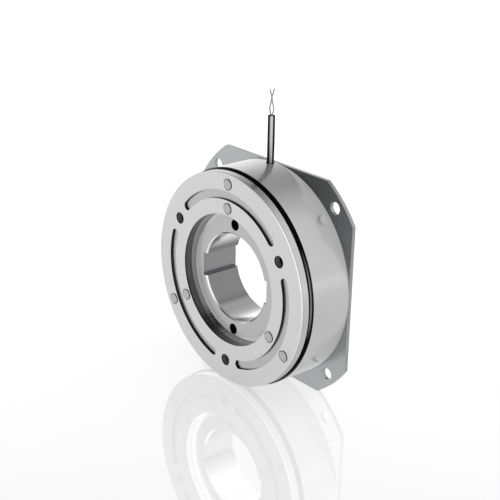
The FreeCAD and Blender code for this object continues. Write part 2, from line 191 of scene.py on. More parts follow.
class ClutchSettings(bpy.types.PropertyGroup):
    """Sizes and colours that a user would change."""

    edge_break: bpy.props.FloatProperty(
        name="Edge break", description="Width of the broken edges of the turned steel parts",
        default=0.35 * MM, min=0.0, max=2.0 * MM, subtype="DISTANCE", unit="LENGTH")
    sheet_edge_break: bpy.props.FloatProperty(
        name="Sheet edge break", description="Width of the broken edges of the stamped spring",
        default=0.15 * MM, min=0.0, max=0.6 * MM, subtype="DISTANCE", unit="LENGTH")
    cable_diameter: bpy.props.FloatProperty(
        name="Cable diameter", description="Outer diameter of the coil cable's sheath",
        default=6.4 * MM, min=3.0 * MM, max=9.0 * MM, subtype="DISTANCE", unit="LENGTH")
    core_diameter: bpy.props.FloatProperty(
        name="Core diameter", description="Outer diameter of each insulated core",
        default=1.3 * MM, min=0.8 * MM, max=2.5 * MM, subtype="DISTANCE", unit="LENGTH")
    spring_colour: bpy.props.FloatVectorProperty(
        name="Spring steel", description="Reflected colour of the diaphragm spring",
        default=(0.76, 0.76, 0.765), min=0.0, max=1.0, subtype="COLOR", size=3)
    body_colour: bpy.props.FloatVectorProperty(
        name="Body steel", description="Reflected colour of the coil body",
        default=(0.445, 0.445, 0.45), min=0.0, max=1.0, subtype="COLOR", size=3)
    rotor_colour: bpy.props.FloatVectorProperty(
        name="Rotor steel", description="Reflected colour of the hub, poles and armature",
        default=(0.565, 0.565, 0.57), min=0.0, max=1.0, subtype="COLOR", size=3)
    cable_colour: bpy.props.FloatVectorProperty(
        name="Cable sheath", description="Colour of the cable's outer sheath",
        default=(0.012, 0.012, 0.013), min=0.0, max=1.0, subtype="COLOR", size=3)
    core_colour: bpy.props.FloatVectorProperty(
        name="Core insulation", description="Colour of the two cores' insulation",
        default=(0.42, 0.42, 0.42), min=0.0, max=1.0, subtype="COLOR", size=3)


def settings():
    return bpy.context.scene.clutch


# Meshes

def finish_mesh(name, bm):
    """Closes a build: welds it, turns its normals out and links it as a smooth piece."""
    bmesh.ops.remove_doubles(bm, verts=bm.verts, dist=WELD)
    bmesh.ops.recalc_face_normals(bm, faces=bm.faces)
    mesh = bpy.data.meshes.new(name)
    bm.to_mesh(mesh)
    bm.free()
    mesh.polygons.foreach_set("use_smooth", [True] * len(mesh.polygons))
    piece = bpy.data.objects.new(name, mesh)
    bpy.context.scene.collection.objects.link(piece)
    return piece


def turn(bm, profile, x=0.0, z=0.0, steps=RING_STEPS):
    """Closed solid of revolution about a line along Y, from (radius, y) corners."""
    rings = []
    for radius, y in profile:
        if radius < ON_AXIS:
            rings.append([bm.verts.new((x, y, z))] * steps)
            continue
        turns = [2 * math.pi * i / steps for i in range(steps)]
        rings.append([bm.verts.new((x + radius * math.cos(a), y, z + radius * math.sin(a))) for a in turns])
    for near, far in zip(rings, rings[1:] + rings[:1]):
        for i in range(steps):
            j = (i + 1) % steps
            corners = list(dict.fromkeys((near[i], near[j], far[j], far[i])))
            if len(corners) > 2:
                bm.faces.new(corners)


def ring(bm, inner, outer, front, rear):
    turn(bm, [(inner, rear), (inner, front), (outer, front), (outer, rear)])


def pin(bm, radius, x, z, front, rear, steps=PIN_STEPS):
    turn(bm, [(0, front), (radius, front), (radius, rear), (0, rear)], x, z, steps)


def block(bm, outline, front, rear):
    """Straight block along Y, from (x, z) corners."""
    near = [bm.verts.new((x, front, z)) for x, z in outline]
    far = [bm.verts.new((x, rear, z)) for x, z in outline]
    bm.faces.new(near)
    bm.faces.new(reversed(far))
    for i in range(len(outline)):
        j = (i + 1) % len(outline)
        bm.faces.new((near[i], near[j], far[j], far[i]))


def stand_up(bm):
    """Turns a solid about Y so that it stands about the cable's line, its y as height."""
    bmesh.ops.rotate(bm, verts=bm.verts, matrix=Matrix.Rotation(math.pi / 2, 3, "X"))
    bmesh.ops.translate(bm, verts=bm.verts, vec=(0, CABLE_Y, 0))


def polar(radius, angle):
    """The x and z of a point about the shaft axis."""
    return radius * math.cos(angle), radius * math.sin(angle)


def rivet_places():
    """Middles of the six rivets, the outer row first."""
    pitches = (RIVET_PITCH_OUTER_R, RIVET_PITCH_INNER_R)
    return [polar(pitch, angle) for pitch in pitches for angle in SLOT_ANGLES]


def slot_outline(middle):
    """Corners of a curved slot with round ends, following a circle about the shaft axis."""
    sweep = [middle + SLOT_HALF_ANGLE * (2 * i / ARC_STEPS - 1) for i in range(ARC_STEPS + 1)]
    corners = [polar(SLOT_PITCH_R + SLOT_HALF_WIDTH, a) for a in sweep]
    for end, start in ((sweep[-1], 0.0), (sweep[0], math.pi)):
        x, z = polar(SLOT_PITCH_R, end)
        if start:
            corners += [polar(SLOT_PITCH_R - SLOT_HALF_WIDTH, a) for a in reversed(sweep)]
        for i in range(1, END_STEPS):
            dx, dz = polar(SLOT_HALF_WIDTH, end + start + math.pi * i / END_STEPS)
            corners.append((x + dx, z + dz))
    return corners


def cut(piece, bm, operation="DIFFERENCE"):
    """Cuts the solids in bm out of a piece, or keeps only what lies in them."""
    tool = finish_mesh(piece.name + "_tool", bm)
    carve = piece.modifiers.new("Cut", "BOOLEAN")
    carve.operation = operation
    carve.solver = "EXACT"
    carve.object = tool
    shaped = piece.evaluated_get(bpy.context.evaluated_depsgraph_get())
    mesh = bpy.data.meshes.new_from_object(shaped)
    piece.modifiers.clear()
    bpy.data.meshes.remove(tool.data)
    rough = piece.data
    piece.data = mesh
    mesh.name = piece.name
    bpy.data.meshes.remove(rough)
    mesh.polygons.foreach_set("use_smooth", [True] * len(mesh.polygons))


def break_edges(piece, width, segments=3):
    bevel = piece.modifiers.new("Broken edges", "BEVEL")
    bevel.width = width
    bevel.segments = segments
    bevel.limit_method = "ANGLE"
    bevel.angle_limit = CORNER_ANGLE
    bevel.harden_normals = True
    bevel.use_clamp_overlap = True
    bevel.miter_outer = "MITER_ARC"


def dress(piece, material, body, slot, *nodes):
    """Gives a piece its material and body, and hides the nodes that it stands for. The record slot is not
    used.
    """
    piece.data.materials.clear()
    piece.data.materials.append(material)
    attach(piece, body)
    if nodes:
        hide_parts(*nodes)


def is_wall(face):
    """Whether a face runs along the shaft axis."""
    return abs(face.normal.y) < 0.5


def off_axis(face):
    """Distance of a face's middle from the shaft axis."""
    return math.hypot(face.center.x, face.center.z)


def finish_faces(piece, material, chosen=is_wall):
    """Gives the faces that the test picks a finish of their own."""
    piece.data.materials.append(material)
    for face in piece.data.polygons:
        if chosen(face):
            face.material_index = len(piece.data.materials) - 1


def paint_node(name, material):
    """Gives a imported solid, which is shown as it is, a material."""
    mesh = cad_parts[name].data
    mesh.materials.clear()
    mesh.materials.append(material)


# Materials

def new_group(name, inputs, outputs):
    group = bpy.data.node_groups.new(name, "ShaderNodeTree")
    for label, value in inputs:
        socket = group.interface.new_socket(label, in_out="INPUT", socket_type="NodeSocketFloat")
        socket.default_value = value
    for label in outputs:
        group.interface.new_socket(label, in_out="OUTPUT", socket_type="NodeSocketFloat")
    return group, group.nodes.new("NodeGroupInput"), group.nodes.new("NodeGroupOutput")


def feed(tree, socket, value):
    """Links a socket to another one, or gives it a constant."""
    if isinstance(value, bpy.types.NodeSocket):
        tree.links.new(value, socket)
    else:
        socket.default_value = value


def math_node(tree, operation, *values):
    node = tree.nodes.new("ShaderNodeMath")
    node.operation = operation
    for socket, value in zip(node.inputs, values):
        feed(tree, socket, value)
    return node.outputs[0]


def plus(tree, first, second):
    return math_node(tree, "ADD", first, second)


def times(tree, first, second):
    return math_node(tree, "MULTIPLY", first, second)


def distance(tree, first, second):
    return math_node(tree, "ABSOLUTE", math_node(tree, "SUBTRACT", first, second))


def noise(tree, vector, scale, detail=3.0):
    node = tree.nodes.new("ShaderNodeTexNoise")
    node.inputs["Scale"].default_value = scale
    node.inputs["Detail"].default_value = detail
    node.inputs["Roughness"].default_value = 0.55
    tree.links.new(vector, node.inputs["Vector"])
    return node.outputs["Fac"]


def ramp(tree, value, low, high, to_low=0.0, to_high=1.0):
    """Spreads the range from low to high over another one, and stays level beyond it."""
    node = tree.nodes.new("ShaderNodeMapRange")
    for label, number in (("From Min", low), ("From Max", high), ("To Min", to_low), ("To Max", to_high)):
        node.inputs[label].default_value = number
    tree.links.new(value, node.inputs["Value"])
    return node.outputs["Result"]


def place(tree):
    """Position on the part, in metres."""
    return tree.nodes.new("ShaderNodeTexCoord").outputs["Object"]


def axes(tree, vector):
    """The x, y and z of a vector."""
    split = tree.nodes.new("ShaderNodeSeparateXYZ")
    tree.links.new(vector, split.inputs[0])
    return split.outputs


def axis_distance(tree, x, z):
    return math_node(tree, "SQRT", plus(tree, times(tree, x, x), times(tree, z, z)))


def turning_marks_group():
    """Fine rings that a lathe tool leaves, about the shaft axis."""
    group, entry, leave = new_group("Turning marks", [("Rings per mm", 6.0), ("Unevenness", 0.35)],
                                    ["Height", "Tone"])
    x, y, z = axes(group, place(group))
    density = times(group, entry.outputs["Rings per mm"], 1.0 / MM)
    along = group.nodes.new("ShaderNodeCombineXYZ")
    group.links.new(times(group, axis_distance(group, x, z), density), along.inputs[0])
    group.links.new(times(group, y, density), along.inputs[1])
    group.links.new(times(group, math_node(group, "ARCTAN2", z, x), 1.5), along.inputs[2])
    fine = noise(group, along.outputs[0], 1.0, 2.0)
    patches = noise(group, place(group), 38.0)
    uneven = times(group, math_node(group, "SUBTRACT", patches, 0.5), entry.outputs["Unevenness"])
    group.links.new(fine, leave.inputs["Height"])
    group.links.new(plus(group, fine, uneven), leave.inputs["Tone"])
    return group


def handling_group():
    """Wiped and fingered patches, and fine dust specks, over any surface."""
    group, entry, leave = new_group("Handling", [("Patch size mm", 30.0), ("Speck size mm", 0.5)],
                                    ["Patches", "Specks"])
    patches = group.nodes.new("ShaderNodeTexNoise")
    patches.inputs["Detail"].default_value = 5.0
    patches.inputs["Distortion"].default_value = 0.8
    specks = group.nodes.new("ShaderNodeTexVoronoi")
    for texture, label in ((patches, "Patch size mm"), (specks, "Speck size mm")):
        scale = math_node(group, "DIVIDE", 1.0 / MM, entry.outputs[label])
        group.links.new(scale, texture.inputs["Scale"])
        group.links.new(place(group), texture.inputs["Vector"])
    group.links.new(ramp(group, patches.outputs["Fac"], 0.35, 0.68), leave.inputs["Patches"])
    group.links.new(ramp(group, specks.outputs["Distance"], 0.12, 0.02), leave.inputs["Specks"])
    return group


def edge_wear_group():
    """Rubbed edges, where a rounded normal leans away from the surface's own."""
    group, entry, leave = new_group("Edge wear", [("Width mm", 0.5)], ["Mask"])
    rounded = group.nodes.new("ShaderNodeBevel")
    rounded.samples = 6
    group.links.new(times(group, entry.outputs["Width mm"], MM), rounded.inputs["Radius"])
    lean = group.nodes.new("ShaderNodeVectorMath")
    lean.operation = "DOT_PRODUCT"
    group.links.new(rounded.outputs["Normal"], lean.inputs[0])
    group.links.new(group.nodes.new("ShaderNodeNewGeometry").outputs["Normal"], lean.inputs[1])
    near = ramp(group, lean.outputs["Value"], 0.995, 0.93)
    breakup = noise(group, place(group), 260.0, 4.0)
    group.links.new(times(group, near, ramp(group, breakup, 0.3, 0.6, 0.4, 1.0)), leave.inputs["Mask"])
    return group


EFFECTS = {"Turning marks": turning_marks_group, "Handling": handling_group, "Edge wear": edge_wear_group}


def effect(tree, name, **values):
    """Places a shared effect group, which is built on its first use."""
    node = tree.nodes.new("ShaderNodeGroup")
    node.node_tree = bpy.data.node_groups.get(name) or EFFECTS[name]()
    for label, value in values.items():
        node.inputs[label.replace("_", " ")].default_value = value
    return node.outputs


def shader_of(material):
    return material.node_tree, material.node_tree.nodes["Principled BSDF"]


def blank(name):
    material = bpy.data.materials.new(name)
    material.use_nodes = True
    return material, *shader_of(material)


def mix_colour(tree, mask, low, high):
    node = tree.nodes.new("ShaderNodeMix")
    node.data_type = "RGBA"
    node.inputs[6].default_value = (*low, 1.0)
    node.inputs[7].default_value = (*high, 1.0)
    tree.links.new(mask, node.inputs[0])
    return node.outputs[2]


def bump(tree, shader, height, relief):
    node = tree.nodes.new("ShaderNodeBump")
    node.inputs["Distance"].default_value = relief
    node.inputs["Strength"].default_value = 1.0
    tree.links.new(height, node.inputs["Height"])
    tree.links.new(node.outputs["Normal"], shader.inputs["Normal"])


def shade(colour, factor):
    return tuple(min(1.0, c * factor) for c in colour)


def steel(name, colour, rough, rings, relief=0.4e-6, patch=30.0):
    """Machined steel with tool rings, wiped patches and rubbed edges."""
    found = bpy.data.materials.get(name)
    if found:
        return found
    material, tree, shader = blank(name)
    shader.inputs["Metallic"].default_value = 1.0
    marks = effect(tree, "Turning marks", Rings_per_mm=rings)
    hand = effect(tree, "Handling", Patch_size_mm=patch)
    rubbed = effect(tree, "Edge wear")
    tone = plus(tree, times(tree, marks["Tone"], 0.6), times(tree, hand["Patches"], 0.3))
    worn = plus(tree, tone, times(tree, rubbed["Mask"], 0.6))
    tinted = mix_colour(tree, worn, shade(colour, 0.93), shade(colour, 1.07))
    tree.links.new(tinted, shader.inputs["Base Color"])
    spread = plus(tree, times(tree, hand["Patches"], 0.05), times(tree, marks["Tone"], 0.06))
    level = plus(tree, spread, rough - 0.05)
    tree.links.new(plus(tree, level, times(tree, hand["Specks"], 0.06)), shader.inputs["Roughness"])
    bump(tree, shader, marks["Height"], relief)
    return material


def moulded(name, colour, rough, grain_mm=0.6, relief=4e-6, metallic=0.0, coat=0.0):
    """Finish with a fine grain and no tool rings, from rubber and resin to cast bronze."""
    found = bpy.data.materials.get(name)
    if found:
        return found
    material, tree, shader = blank(name)
    shader.inputs["Metallic"].default_value = metallic
    shader.inputs["Coat Weight"].default_value = coat
    hand = effect(tree, "Handling", Patch_size_mm=12.0)
    grain = noise(tree, place(tree), 1.0 / (grain_mm * MM), 4.0)
    tone = plus(tree, times(tree, grain, 0.6), times(tree, hand["Patches"], 0.4))
    tinted = mix_colour(tree, tone, shade(colour, 0.75), shade(colour, 1.2))
    tree.links.new(tinted, shader.inputs["Base Color"])
    tree.links.new(plus(tree, times(tree, tone, 0.14), rough - 0.07), shader.inputs["Roughness"])
    bump(tree, shader, grain, relief)
    return material


def blend_base(tree, shader, mode, factor, second):
    """Blends the shader's colour with a second one, given as a colour or a socket."""
    node = tree.nodes.new("ShaderNodeMix")
    node.data_type = "RGBA"
    node.blend_type = mode
    feed(tree, node.inputs[0], factor)
    feed(tree, node.inputs[7], second)
    tree.links.new(shader.inputs["Base Color"].links[0].from_socket, node.inputs[6])
    tree.links.new(node.outputs[2], shader.inputs["Base Color"])


def glow(tree, shader, mask, strength):
    """Lets a surface shine by itself where the mask says."""
    shader.inputs["Emission Strength"].default_value = strength
    tree.links.new(mix_colour(tree, mask, BLACK, WHITE), shader.inputs["Emission Color"])


def in_mirrors(tree):
    """1 where another surface mirrors this one, 0 where it is seen itself."""
    return tree.nodes.new("ShaderNodeLightPath").outputs["Is Glossy Ray"]


def lit_in_mirrors(material, strength, below=1.0):
    """Makes a finish glow, as painted light that only the parts which mirror it see, with a share of that
    below the axis.
    """
    tree, shader = shader_of(material)
    height = axes(tree, place(tree))["Z"]
    glow(tree, shader, times(tree, in_mirrors(tree), ramp(tree, height, -0.03, 0.01, below, 1.0)), strength)
    return material


def painted_shade_in_streaks(material, dark):
    """Makes a wall half satin, and paints shade on its lower left, broken into streaks along the shaft axis.
    """
    tree, shader = shader_of(material)
    shader.inputs["Metallic"].default_value = 0.3
    x, _, z = axes(tree, place(tree))
    angle = math_node(tree, "ARCTAN2", z, x)
    along = tree.nodes.new("ShaderNodeCombineXYZ")
    tree.links.new(angle, along.inputs[0])
    # Painted shade, darkest at the lower left, its edge broken by noise round the angle
    ragged = ramp(tree, noise(tree, along.outputs[0], 22.0), 0.3, 0.7, -0.2, 0.2)
    near = ramp(tree, plus(tree, distance(tree, angle, PAINTED_SHADE_ANGLE), ragged), PAINTED_SHADE_REACH, PAINTED_SHADE_CORE)
    blend_base(tree, shader, "MULTIPLY", near, (*dark, 1.0))
    return material


def glossy_sheath_painted_highlight():
    """Glossy black sheath, with its reflection painted bright where it faces the view and dark towards its
    outlines, as a painted highlight.
    """
    material, tree, shader = blank("Cable sheath")
    facing = tree.nodes.new("ShaderNodeLayerWeight").outputs["Facing"]
    grain = noise(tree, place(tree), 1.0 / (0.9 * MM), 4.0)
    # Painted highlight: strong reflection where the sheath faces the view, almost none at its outlines
    shine = ramp(tree, plus(tree, facing, ramp(tree, grain, 0.3, 0.7, -0.01, 0.01)), 0.01, 0.18, 1.0, 0.0)
    tree.links.new(mix_colour(tree, shine, settings().cable_colour, (0.8, 0.8, 0.805)),
                   shader.inputs["Base Color"])
    shader.inputs["Metallic"].default_value = 1.0
    shader.inputs["Specular Tint"].default_value = (0.02, 0.02, 0.02, 1.0)
    tree.links.new(ramp(tree, grain, 0.0, 1.0, 0.24, 0.34), shader.inputs["Roughness"])
    bump(tree, shader, grain, 4e-6)
    return material


def pale_floor():
    """White floor that shines by itself and mirrors the part a little."""
    material, tree, shader = blank("Pale floor")
    cloud = noise(tree, place(tree), 3.0, 4.0)
    pale = mix_colour(tree, cloud, (0.34, 0.34, 0.34), (0.37, 0.37, 0.37))
    tree.links.new(pale, shader.inputs["Base Color"])
    tree.links.new(ramp(tree, cloud, 0.3, 0.7, 0.01, 0.02), shader.inputs["Roughness"])
    shader.inputs["IOR"].default_value = 3.0
    shader.inputs["Emission Color"].default_value = (*WHITE, 1.0)
    shader.inputs["Emission Strength"].default_value = 0.6
    return material


def core_insulation():
    return moulded("Core insulation", settings().core_colour, 0.32, grain_mm=0.4, relief=2e-6)


def bush_rubber():
    return moulded("Bush rubber", (0.02, 0.02, 0.02), 0.6, grain_mm=0.3)


def screw_finish():
    return moulded("Screw finish", (0.05, 0.05, 0.055), 0.38, grain_mm=0.3, metallic=1.0)


def bobbin_plastic():
    return moulded("Bobbin plastic", (0.55, 0.52, 0.45), 0.5)


def winding_wire():
    return moulded("Winding wire", (0.62, 0.26, 0.12), 0.28, grain_mm=0.8, metallic=1.0)


def potting_resin():
    return moulded("Potting resin", (0.015, 0.015, 0.018), 0.25, grain_mm=3.0, coat=0.4)


def barrier_bronze():
    return moulded("Barrier bronze", (0.55, 0.36, 0.16), 0.3, metallic=1.0)


def lining_compound():
    return moulded("Friction lining", (0.09, 0.07, 0.055), 0.75, grain_mm=0.5)


def spring_steel():
    return steel("Spring steel", settings().spring_colour, 0.34, rings=2.5, relief=0.35e-6, patch=55.0)


def rotor_steel():
    return steel("Rotor steel", settings().rotor_colour, 0.30, rings=4.0, relief=0.5e-6)


def plate_rear_steel():
    return steel("Plate rear steel", PLATE_COLOUR, 0.22, rings=1.5, relief=0.5e-6, patch=45.0)


def plate_edge_steel():
    return steel("Plate edge steel", (0.27, 0.27, 0.275), 0.3, rings=3.0)


def rivet_steel():
    return steel("Rivet steel", (0.54, 0.54, 0.545), 0.34, rings=8.0)


# Dark copy of the rotor steel for the walls of the keyways and jacking holes, as painted shade
def keyway_steel():
    return steel("Keyway steel", (0.22, 0.22, 0.225), 0.25, rings=2.0)


# Darker copy of the rotor steel for the armature's rim, as painted shade
def rim_steel():
    return steel("Armature rim steel", (0.41, 0.41, 0.414), 0.25, rings=4.0)


# Near-black steel for walls in slots, holes and round the rivet heads, as painted shade
def painted_shade_wall_steel():
    return steel("Painted shade wall steel", (0.03, 0.03, 0.032), 0.5, rings=3.0)


def plate_steel():
    """Plate finish, with a painted glow that makes it about as bright as the sky where the body mirrors it.
    """
    material = steel("Plate steel", PLATE_COLOUR, 0.2, rings=1.5, relief=0.5e-6, patch=45.0)
    return lit_in_mirrors(material, PLATE_GLOW, 0.5)


def recess_steel():
    """Wall of the rotor's recess, with painted shade at its lower left broken into streaks along the axis,
    and a painted glow that only its mirror images show.
    """
    material = steel("Recess steel", (0.46, 0.46, 0.465), 0.35, rings=2.0)
    return lit_in_mirrors(painted_shade_in_streaks(material, (0.10, 0.10, 0.10)), WALL_GLOW)


def armature_bore_steel():
    """Bore of the armature, a dark copy of the rotor steel as painted shade, with painted shade at its lower
    left like the recess behind it, and a painted glow in mirrors.
    """
    material = steel("Armature bore steel", (0.14, 0.14, 0.143), 0.35, rings=2.0)
    return lit_in_mirrors(painted_shade_in_streaks(material, (0.20, 0.20, 0.20)), WALL_GLOW)


def sleeve_steel():
    """Half satin finish of the web sleeves, whose bores show grey."""
    material = steel("Sleeve steel", (0.42, 0.42, 0.425), 0.35, rings=3.0)
    shader_of(material)[1].inputs["Metallic"].default_value = 0.3
    return material


def body_steel():
    """Body finish, half satin, whose upper half is painted darker where the plate mirrors it, as painted
    shade in the plate.
    """
    material = steel("Body steel", settings().body_colour, 0.18, rings=5.0, relief=0.2e-6)
    tree, shader = shader_of(material)
    shader.inputs["Metallic"].default_value = 0.55
    height = axes(tree, place(tree))["Z"]
    # Painted shade: the body's upper half at half its colour, seen in mirrors only
    dark = times(tree, in_mirrors(tree), ramp(tree, height, 0.05, 0.11))
    blend_base(tree, shader, "MULTIPLY", dark, (0.5, 0.5, 0.5, 1.0))
    return material


def bore_steel_painted_highlights():
    """Bore finish, dark at its sides as painted shade, with painted highlights where it faces straight up or
    down.
    """
    material = steel("Bore steel, painted highlights", (0.165, 0.165, 0.168), 0.18, rings=2.0)
    tree, shader = shader_of(material)
    facing = axes(tree, tree.nodes.new("ShaderNodeNewGeometry").outputs["Normal"])["Z"]
    # Painted highlights where the bore faces up or down
    lit = math_node(tree, "MAXIMUM", ramp(tree, facing, -0.3, -0.7), ramp(tree, facing, 0.78, 1.0))
    blend_base(tree, shader, "LIGHTEN", 1.0, mix_colour(tree, lit, BLACK, (0.85, 0.85, 0.855)))
    return material


def polished_steel_painted_glint():
    """Polished chamfer, with a painted glint, a glow of its own, at its lower left."""
    material = steel("Polished edge steel, painted glint", (0.86, 0.86, 0.87), 0.2, rings=2.0)
    tree, shader = shader_of(material)
    x, _, z = axes(tree, place(tree))
    glint = times(tree, ramp(tree, z, 0.0, -6 * MM), ramp(tree, x, -18 * MM, -30 * MM))
    glow(tree, shader, glint, 0.7)
    return material


def shaded_steel():
    """Finish of the faces behind the armature, painted near black as painted shade, with a painted glint in
    a thin line at the right.
    """
    found = bpy.data.materials.get("Shaded steel")
    if found:
        return found
    material = steel("Shaded steel", (0.10, 0.10, 0.102), 0.35, rings=3.0)
    tree, shader = shader_of(material)
    x, _, z = axes(tree, place(tree))
    line = ramp(tree, distance(tree, axis_distance(tree, x, z), GLINT_R), 1.3 * MM, 0.4 * MM)
    length = ramp(tree, distance(tree, z, GLINT_Z), GLINT_REACH, GLINT_CORE)
    glint = times(tree, times(tree, line, length), ramp(tree, x, 0.0, 20 * MM))
    glow(tree, shader, glint, 0.2)
    return material


# Operators

class CLUTCH_OT_cable(bpy.types.Operator):
    """Adds the coil cable with its two bare cores and the bush that it leaves through"""

    bl_idname = "clutch.cable"
    bl_label = "Cable"

    def strand(self, name, points, radius, material, slot, node):
        curve = bpy.data.curves.new(name, "CURVE")
        curve.dimensions = "3D"
        curve.resolution_u = 16
        curve.bevel_depth = radius
        curve.bevel_resolution = 8
        curve.use_fill_caps = True
        line = curve.splines.new("NURBS")
        line.points.add(len(points) - 1)
        for point, corner in zip(line.points, points):
            point.co = (*corner, 1.0)
        line.order_u = 3
        line.use_endpoint_u = True
        piece = bpy.data.objects.new(name, curve)
        bpy.context.scene.collection.objects.link(piece)
        dress(piece, material, "stator", slot, node)
        return piece

    def execute(self, context):
        choice = settings()
        for side, letter, end in ((1, "a", CORE_ENDS[0]), (-1, "b", CORE_ENDS[1])):
            points = [(side * x * MM, CABLE_Y - side * y * MM, CABLE_TOP_Z + z * MM)
                      for x, y, z in (*CORE_ROUTE, end)]
            self.strand("core_" + letter, points, choice.core_diameter / 2, core_insulation(),
                                     "core_insulation", "cable_core_" + letter)
        jacket = self.strand("cable_sheath", CABLE_ROUTE, choice.cable_diameter / 2, glossy_sheath_painted_highlight(),
                             "cable_sheath", "cable_jacket")
        bm = bmesh.new()
        low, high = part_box("cable_bush")
        inner, outer = choice.cable_diameter / 2, (high.x - low.x) / 2
        turn(bm, [(inner, low.z), (inner, high.z + BUSH_COLLAR), (outer - BUSH_COLLAR, high.z + BUSH_COLLAR),
                  (outer, high.z), (outer, low.z)], steps=PIN_STEPS)
        stand_up(bm)
        bush = finish_mesh("bush", bm)
        break_edges(bush, BUSH_EDGE)
        dress(bush, bush_rubber(), "stator", "bush_rubber", "cable_bush")
        return {"FINISHED"}


class CLUTCH_OT_flange(bpy.types.Operator):
    """Adds the square flange plate with its rounded corners, and the screws in its rear"""

    bl_idname = "clutch.flange"
    bl_label = "Flange plate and screws"

    def execute(self, context):
        front, rear = span("flange_plate")
        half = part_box("flange_plate")[1].x
        bm = bmesh.new()
        ring(bm, BODY_BORE_R, FLANGE_CORNER_R, front, rear)
        plate = finish_mesh("flange", bm)
        bm = bmesh.new()
        block(bm, [(-half, -half), (half, -half), (half, half), (-half, half)], front - MM, rear + MM)
        cut(plate, bm, "INTERSECT")
        bm = bmesh.new()
        for x in (-FLANGE_HOLE_OFFSET, FLANGE_HOLE_OFFSET):
            for z in (-FLANGE_HOLE_OFFSET, FLANGE_HOLE_OFFSET):
                pin(bm, FLANGE_HOLE_R, x, z, front - MM, rear + MM, HOLE_STEPS)
        sink = SCREW_HEAD_R - SCREW_R
        places = [polar(SCREW_PITCH_R, angle) for angle in SCREW_ANGLES]
        for x, z in places:
            turn(bm, [(0, front - MM), (SCREW_R, front - MM), (SCREW_R, rear - sink),
                      (SCREW_HEAD_R + MM, rear + MM), (0, rear + MM)], x, z, PIN_STEPS)
        cut(plate, bm)
        break_edges(plate, settings().edge_break)
        dress(plate, plate_steel(), "stator", "plate_steel", "flange_plate")
        finish_faces(plate, plate_edge_steel())
        finish_faces(plate, plate_rear_steel(), lambda face: face.normal.y > 0.5)
        bm = bmesh.new()
        for x, z in places:
            turn(bm, [(0, rear - SCREW_LENGTH), (SCREW_R, rear - SCREW_LENGTH), (SCREW_R, rear - sink),
                      (SCREW_HEAD_R, rear), (0, rear)], x, z, PIN_STEPS)
        screws = finish_mesh("screws", bm)
        bm = bmesh.new()
        for x, z in places:
            pin(bm, SCREW_SOCKET_R, x, z, rear - SCREW_SOCKET_DEPTH, rear + MM, SOCKET_SIDES)
        cut(screws, bm)
        break_edges(screws, SCREW_EDGE, 2)
        dress(screws, screw_finish(), "stator", "screw_steel", "flange_screws")
        return {"FINISHED"}


class CLUTCH_OT_coil_body(bpy.types.Operator):
    """Adds the polished coil body and finishes the coil parts inside it"""

    bl_idname = "clutch.coil_body"
    bl_label = "Coil body"

    def execute(self, context):
        front, rear = span("magnet_body")
        floor = rear - CHANNEL_FLOOR_T
        bm = bmesh.new()
        turn(bm, [(BODY_BORE_R, front + POLE_TUBE_SETBACK), (POLE_TUBE_R, front + POLE_TUBE_SETBACK),
                  (POLE_TUBE_R, floor), (SHELL_BORE_R, floor), (SHELL_BORE_R, front), (BODY_R, front),
                  (BODY_R, rear), (BODY_BORE_R, rear)])
        shell = finish_mesh("coil_body", bm)
        bm = bmesh.new()
        low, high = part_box("cable_bush")
        hole_r = (high.x - low.x) / 2
        turn(bm, [(0, BUSH_HOLE_LOW_Z), (hole_r, BUSH_HOLE_LOW_Z), (hole_r, BUSH_HOLE_HIGH_Z),
                  (0, BUSH_HOLE_HIGH_Z)], steps=PIN_STEPS)
        stand_up(bm)
        cut(shell, bm)
        break_edges(shell, BODY_EDGE)
        dress(shell, body_steel(), "stator", "body_steel", "magnet_body")
        # The body's front faces in the gap get the near-black steel as painted shade
        finish_faces(shell, shaded_steel(),
                     lambda face: face.center.y < front + MM and not is_wall(face))
        paint_node("coil_bobbin", bobbin_plastic())
        paint_node("coil_winding", winding_wire())
        paint_node("coil_leads", winding_wire())
        paint_node("coil_potting", potting_resin())
        return {"FINISHED"}


